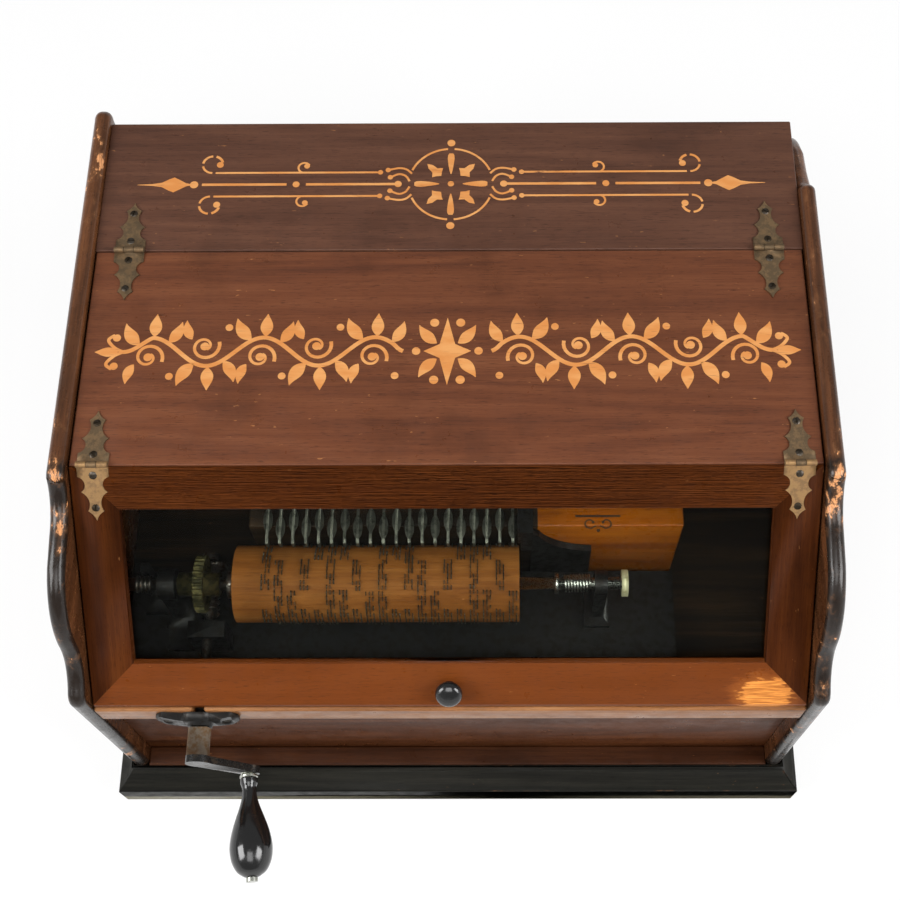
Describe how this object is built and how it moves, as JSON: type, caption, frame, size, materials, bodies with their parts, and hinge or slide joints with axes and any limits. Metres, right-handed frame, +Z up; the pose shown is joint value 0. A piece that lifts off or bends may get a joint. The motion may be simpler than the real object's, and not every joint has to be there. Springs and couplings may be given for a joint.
{
  "type": "roller organ",
  "caption": "Table-top roller organ in a scrolled wooden case, with hinged lid, glazed door, hand crank, worm drive, pinned cob, sprung keys and bellows.",
  "frame": {"origin": "on the floor under the middle of the base", "axes": "+Z up, the crank and door face -Y, +X to the right seen from the crank side along the organ's width"},
  "size_m": [0.46, 0.4363, 0.3002],
  "materials": {
    "walnut": "aged shellac",
    "ebonised_wood": "worn black stain",
    "varnished_maple": "amber varnish",
    "cob_wood": "bare",
    "pin_steel": "oxidised wire",
    "hinge_brass": "dull pressed brass",
    "screw_steel": "blued",
    "black_iron": "japanned",
    "dark_steel": "browned",
    "wheel_brass": "tarnished",
    "bright_steel": "nickelled",
    "black_enamel": "gloss black enamel",
    "window_glass": "clear",
    "bellows_cloth": "rubberised cloth",
    "key_metal": "tarnished nickel"
  },
  "bodies": {
    "case": {"base_board": "walnut", "base_moulding": "ebonised_wood", "left_side": "ebonised_wood", "right_side": "ebonised_wood", "back_board": "walnut", "rear_top_board": "walnut", "front_rail": "walnut", "front_apron": "walnut", "side_cleats": "walnut", "valve_chest": "varnished_maple", "pump_board": "walnut", "crank_bearing_plate": "black_iron", "case_hinge_leaves": "hinge_brass", "case_screws": "screw_steel", "bed_plate": "black_iron", "key_bracket": "black_iron", "drive_bracket": "black_iron", "tail_bracket": "black_iron", "bellows_cloth": "bellows_cloth", "tail_spring": "bright_steel"},
    "lid": {"lid_board": "walnut", "lid_hinge_leaves": "hinge_brass", "hinge_pins": "hinge_brass", "lid_screws": "screw_steel"},
    "door": {"door_frame": "walnut", "door_glass": "window_glass", "door_knob": "black_enamel", "door_hinge_leaves": "hinge_brass", "door_screws": "screw_steel"},
    "crank": {"crank_shaft": "dark_steel", "crank_arm": "dark_steel"},
    "handle": {"crank_handle": "black_enamel"},
    "wheel": {"worm_wheel": "wheel_brass"},
    "cob": {"cob": "cob_wood", "cob_pins": "pin_steel", "feed_shaft": "dark_steel"},
    "tail": {"tail_spindle": "bright_steel"},
    "rod": {"connecting_rod": "dark_steel"},
    "feeder": {"feeder_board": "walnut"},
    "reservoir": {"reservoir_board": "walnut"},
    "key_01_lever": {"key_01": "key_metal"},
    "key_02_lever": {"key_02": "key_metal"},
    "key_03_lever": {"key_03": "key_metal"},
    "key_04_lever": {"key_04": "key_metal"},
    "key_05_lever": {"key_05": "key_metal"},
    "key_06_lever": {"key_06": "key_metal"},
    "key_07_lever": {"key_07": "key_metal"},
    "key_08_lever": {"key_08": "key_metal"},
    "key_09_lever": {"key_09": "key_metal"},
    "key_10_lever": {"key_10": "key_metal"},
    "key_11_lever": {"key_11": "key_metal"},
    "key_12_lever": {"key_12": "key_metal"},
    "key_13_lever": {"key_13": "key_metal"},
    "key_14_lever": {"key_14": "key_metal"},
    "key_15_lever": {"key_15": "key_metal"},
    "key_16_lever": {"key_16": "key_metal"},
    "key_17_lever": {"key_17": "key_metal"},
    "key_18_lever": {"key_18": "key_metal"},
    "key_19_lever": {"key_19": "key_metal"},
    "key_20_lever": {"key_20": "key_metal"}
  },
  "joints": [
    {"name": "lid_hinge", "type": "hinge", "parent": "case", "child": "lid", "pos_m": [0, 0.081, 0.2965], "axis": [-1, 0, 0], "range_deg": [0, 95]},
    {"name": "door_hinge", "type": "hinge", "parent": "lid", "child": "door", "pos_m": [0, -0.0555, 0.2965], "axis": [-1, 0, 0], "range_deg": [0, 180]},
    {"name": "crank_turn", "type": "hinge", "parent": "case", "child": "crank", "pos_m": [-0.146, -0.165, 0.18], "axis": [0, 1, 0], "continuous": true},
    {"name": "handle_spin", "type": "hinge", "parent": "crank", "child": "handle", "pos_m": [-0.1203, -0.1934, 0.15338], "axis": [0.1011, -0.9949, 0], "continuous": true},
    {"name": "wheel_turn", "type": "hinge", "parent": "case", "child": "wheel", "pos_m": [-0.146, -0.092, 0.203], "axis": [-1, 0, 0], "continuous": true},
    {"name": "cob_shift", "type": "slide", "parent": "wheel", "child": "cob", "axis": [-1, 0, 0], "range_m": [0, 0.003]},
    {"name": "tail_release", "type": "slide", "parent": "cob", "child": "tail", "axis": [1, 0, 0], "range_m": [0, 0.007], "stiffness_N_per_m": 400, "springref_m": -0.01, "deforming": ["tail_spring"]},
    {"name": "rod_swing", "type": "hinge", "parent": "crank", "child": "rod", "pos_m": [-0.146, -0.071, 0.188], "axis": [0, 1, 0], "continuous": true},
    {"name": "feeder_hinge", "type": "hinge", "parent": "case", "child": "feeder", "pos_m": [-0.024, 0.04, 0.1124], "axis": [0, -1, 0], "range_deg": [0, 7], "stiffness_Nm_per_rad": 4, "springref_deg": -20.05},
    {"name": "reservoir_hinge", "type": "hinge", "parent": "case", "child": "reservoir", "pos_m": [0, 0.15, 0.184], "axis": [1, 0, 0], "range_deg": [0, 9], "stiffness_Nm_per_rad": 6, "springref_deg": -20.05, "deforming": ["bellows_cloth"]},
    {"name": "key_01_lift", "type": "hinge", "parent": "case", "child": "key_01_lever", "pos_m": [0, -0.012, 0.231], "axis": [-1, 0, 0], "range_deg": [0, 3], "stiffness_Nm_per_rad": 0.02, "springref_deg": -11.46},
    {"name": "key_02_lift", "type": "hinge", "parent": "case", "child": "key_02_lever", "pos_m": [0, -0.012, 0.231], "axis": [-1, 0, 0], "range_deg": [0, 3], "stiffness_Nm_per_rad": 0.02, "springref_deg": -11.46},
    {"name": "key_03_lift", "type": "hinge", "parent": "case", "child": "key_03_lever", "pos_m": [0, -0.012, 0.231], "axis": [-1, 0, 0], "range_deg": [0, 3], "stiffness_Nm_per_rad": 0.02, "springref_deg": -11.46},
    {"name": "key_04_lift", "type": "hinge", "parent": "case", "child": "key_04_lever", "pos_m": [0, -0.012, 0.231], "axis": [-1, 0, 0], "range_deg": [0, 3], "stiffness_Nm_per_rad": 0.02, "springref_deg": -11.46},
    {"name": "key_05_lift", "type": "hinge", "parent": "case", "child": "key_05_lever", "pos_m": [0, -0.012, 0.231], "axis": [-1, 0, 0], "range_deg": [0, 3], "stiffness_Nm_per_rad": 0.02, "springref_deg": -11.46},
    {"name": "key_06_lift", "type": "hinge", "parent": "case", "child": "key_06_lever", "pos_m": [0, -0.012, 0.231], "axis": [-1, 0, 0], "range_deg": [0, 3], "stiffness_Nm_per_rad": 0.02, "springref_deg": -11.46},
    {"name": "key_07_lift", "type": "hinge", "parent": "case", "child": "key_07_lever", "pos_m": [0, -0.012, 0.231], "axis": [-1, 0, 0], "range_deg": [0, 3], "stiffness_Nm_per_rad": 0.02, "springref_deg": -11.46},
    {"name": "key_08_lift", "type": "hinge", "parent": "case", "child": "key_08_lever", "pos_m": [0, -0.012, 0.231], "axis": [-1, 0, 0], "range_deg": [0, 3], "stiffness_Nm_per_rad": 0.02, "springref_deg": -11.46},
    {"name": "key_09_lift", "type": "hinge", "parent": "case", "child": "key_09_lever", "pos_m": [0, -0.012, 0.231], "axis": [-1, 0, 0], "range_deg": [0, 3], "stiffness_Nm_per_rad": 0.02, "springref_deg": -11.46},
    {"name": "key_10_lift", "type": "hinge", "parent": "case", "child": "key_10_lever", "pos_m": [0, -0.012, 0.231], "axis": [-1, 0, 0], "range_deg": [0, 3], "stiffness_Nm_per_rad": 0.02, "springref_deg": -11.46},
    {"name": "key_11_lift", "type": "hinge", "parent": "case", "child": "key_11_lever", "pos_m": [0, -0.012, 0.231], "axis": [-1, 0, 0], "range_deg": [0, 3], "stiffness_Nm_per_rad": 0.02, "springref_deg": -11.46},
    {"name": "key_12_lift", "type": "hinge", "parent": "case", "child": "key_12_lever", "pos_m": [0, -0.012, 0.231], "axis": [-1, 0, 0], "range_deg": [0, 3], "stiffness_Nm_per_rad": 0.02, "springref_deg": -11.46},
    {"name": "key_13_lift", "type": "hinge", "parent": "case", "child": "key_13_lever", "pos_m": [0, -0.012, 0.231], "axis": [-1, 0, 0], "range_deg": [0, 3], "stiffness_Nm_per_rad": 0.02, "springref_deg": -11.46},
    {"name": "key_14_lift", "type": "hinge", "parent": "case", "child": "key_14_lever", "pos_m": [0, -0.012, 0.231], "axis": [-1, 0, 0], "range_deg": [0, 3], "stiffness_Nm_per_rad": 0.02, "springref_deg": -11.46},
    {"name": "key_15_lift", "type": "hinge", "parent": "case", "child": "key_15_lever", "pos_m": [0, -0.012, 0.231], "axis": [-1, 0, 0], "range_deg": [0, 3], "stiffness_Nm_per_rad": 0.02, "springref_deg": -11.46},
    {"name": "key_16_lift", "type": "hinge", "parent": "case", "child": "key_16_lever", "pos_m": [0, -0.012, 0.231], "axis": [-1, 0, 0], "range_deg": [0, 3], "stiffness_Nm_per_rad": 0.02, "springref_deg": -11.46},
    {"name": "key_17_lift", "type": "hinge", "parent": "case", "child": "key_17_lever", "pos_m": [0, -0.012, 0.231], "axis": [-1, 0, 0], "range_deg": [0, 3], "stiffness_Nm_per_rad": 0.02, "springref_deg": -11.46},
    {"name": "key_18_lift", "type": "hinge", "parent": "case", "child": "key_18_lever", "pos_m": [0, -0.012, 0.231], "axis": [-1, 0, 0], "range_deg": [0, 3], "stiffness_Nm_per_rad": 0.02, "springref_deg": -11.46},
    {"name": "key_19_lift", "type": "hinge", "parent": "case", "child": "key_19_lever", "pos_m": [0, -0.012, 0.231], "axis": [-1, 0, 0], "range_deg": [0, 3], "stiffness_Nm_per_rad": 0.02, "springref_deg": -11.46},
    {"name": "key_20_lift", "type": "hinge", "parent": "case", "child": "key_20_lever", "pos_m": [0, -0.012, 0.231], "axis": [-1, 0, 0], "range_deg": [0, 3], "stiffness_Nm_per_rad": 0.02, "springref_deg": -11.46}
  ],
  "couplings": [
    {"joint": "wheel_turn", "follows": "crank_turn", "ratio": 0.035714},
    {"joint": "rod_swing", "follows": "crank_turn", "ratio": -1}
  ]
}
